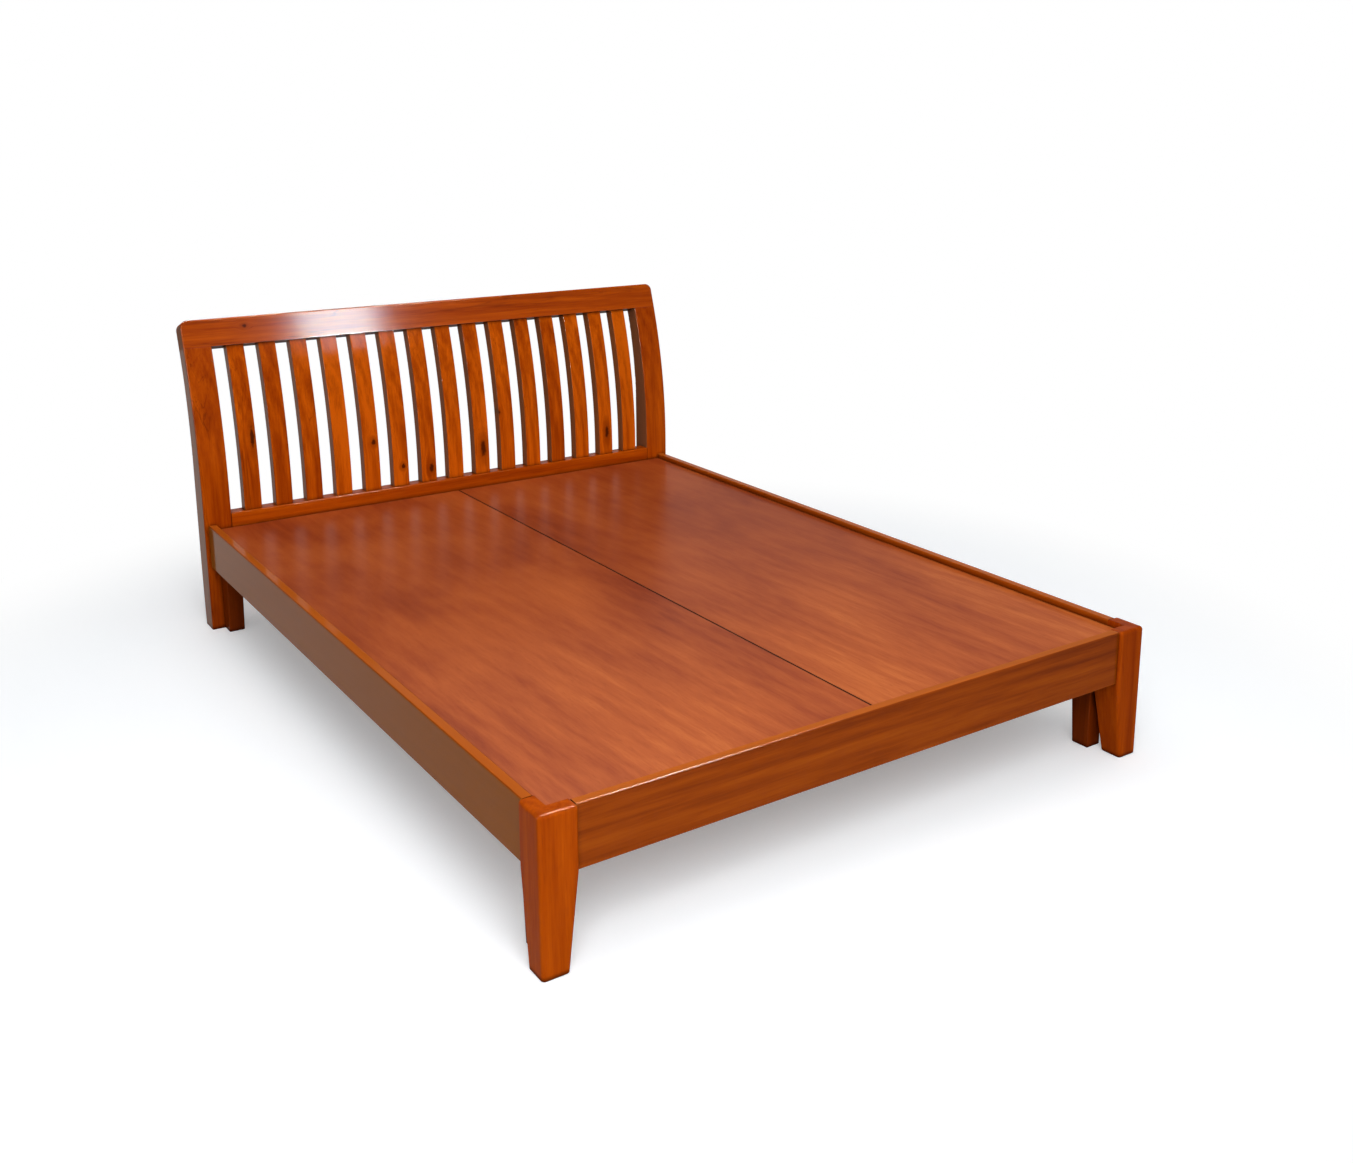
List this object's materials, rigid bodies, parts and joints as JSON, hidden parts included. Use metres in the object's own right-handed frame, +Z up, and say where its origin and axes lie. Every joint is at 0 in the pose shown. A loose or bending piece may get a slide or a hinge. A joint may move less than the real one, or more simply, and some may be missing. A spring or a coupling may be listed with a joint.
{
  "type": "platform bed",
  "caption": "Low wooden platform bed with a backward-curved slatted headboard, notched tapered legs and a lift-out plywood deck in two panels.",
  "frame": {"origin": "on the floor, at the middle of the whole bed's outline seen from above", "axes": "+X to the right seen from the foot, +Y from the foot to the headboard, +Z up"},
  "size_m": [1.608, 2.225, 0.9137],
  "materials": {
    "lacquered_wood": "gloss orange-brown lacquer",
    "deck_plywood": "satin reddish-brown stain",
    "support_wood": "unfinished pale softwood",
    "zinc_steel": "zinc plated",
    "brass_inserts": "plain"
  },
  "bodies": {
    "bed_frame": {"headboard_post_left": "lacquered_wood", "headboard_post_right": "lacquered_wood", "top_rail": "lacquered_wood", "lower_rail": "lacquered_wood", "slat_01": "lacquered_wood", "slat_02": "lacquered_wood", "slat_03": "lacquered_wood", "slat_04": "lacquered_wood", "slat_05": "lacquered_wood", "slat_06": "lacquered_wood", "slat_07": "lacquered_wood", "slat_08": "lacquered_wood", "slat_09": "lacquered_wood", "slat_10": "lacquered_wood", "slat_11": "lacquered_wood", "slat_12": "lacquered_wood", "slat_13": "lacquered_wood", "slat_14": "lacquered_wood", "slat_15": "lacquered_wood", "foot_leg_left": "lacquered_wood", "foot_leg_right": "lacquered_wood", "foot_rail": "lacquered_wood", "side_rail_left": "lacquered_wood", "side_rail_right": "lacquered_wood", "rail_leg_foot_left": "lacquered_wood", "rail_leg_foot_right": "lacquered_wood", "rail_leg_head_left": "lacquered_wood", "rail_leg_head_right": "lacquered_wood", "ledger_left": "support_wood", "ledger_right": "support_wood", "ledger_foot": "support_wood", "ledger_head": "support_wood", "centre_beam": "support_wood", "beam_cradle_foot": "support_wood", "beam_cradle_head": "support_wood", "beam_leg_foot": "support_wood", "beam_leg_head": "support_wood", "bed_bolts": "zinc_steel", "bolt_washers": "zinc_steel", "thread_inserts": "brass_inserts", "ledger_screws": "zinc_steel", "rail_leg_screws": "zinc_steel", "cradle_screws": "zinc_steel"},
    "deck_left": {"deck_panel_left": "deck_plywood", "batten_left_1": "support_wood", "batten_left_2": "support_wood", "batten_left_3": "support_wood", "batten_left_4": "support_wood", "batten_screws_left": "zinc_steel"},
    "deck_right": {"deck_panel_right": "deck_plywood", "batten_right_1": "support_wood", "batten_right_2": "support_wood", "batten_right_3": "support_wood", "batten_right_4": "support_wood", "batten_screws_right": "zinc_steel"}
  },
  "joints": [
    {"name": "deck_left_lift", "type": "slide", "parent": "bed_frame", "child": "deck_left", "axis": [0, 0, 1], "range_m": [0, 0.65]},
    {"name": "deck_right_lift", "type": "slide", "parent": "bed_frame", "child": "deck_right", "axis": [0, 0, 1], "range_m": [0, 0.65]}
  ]
}
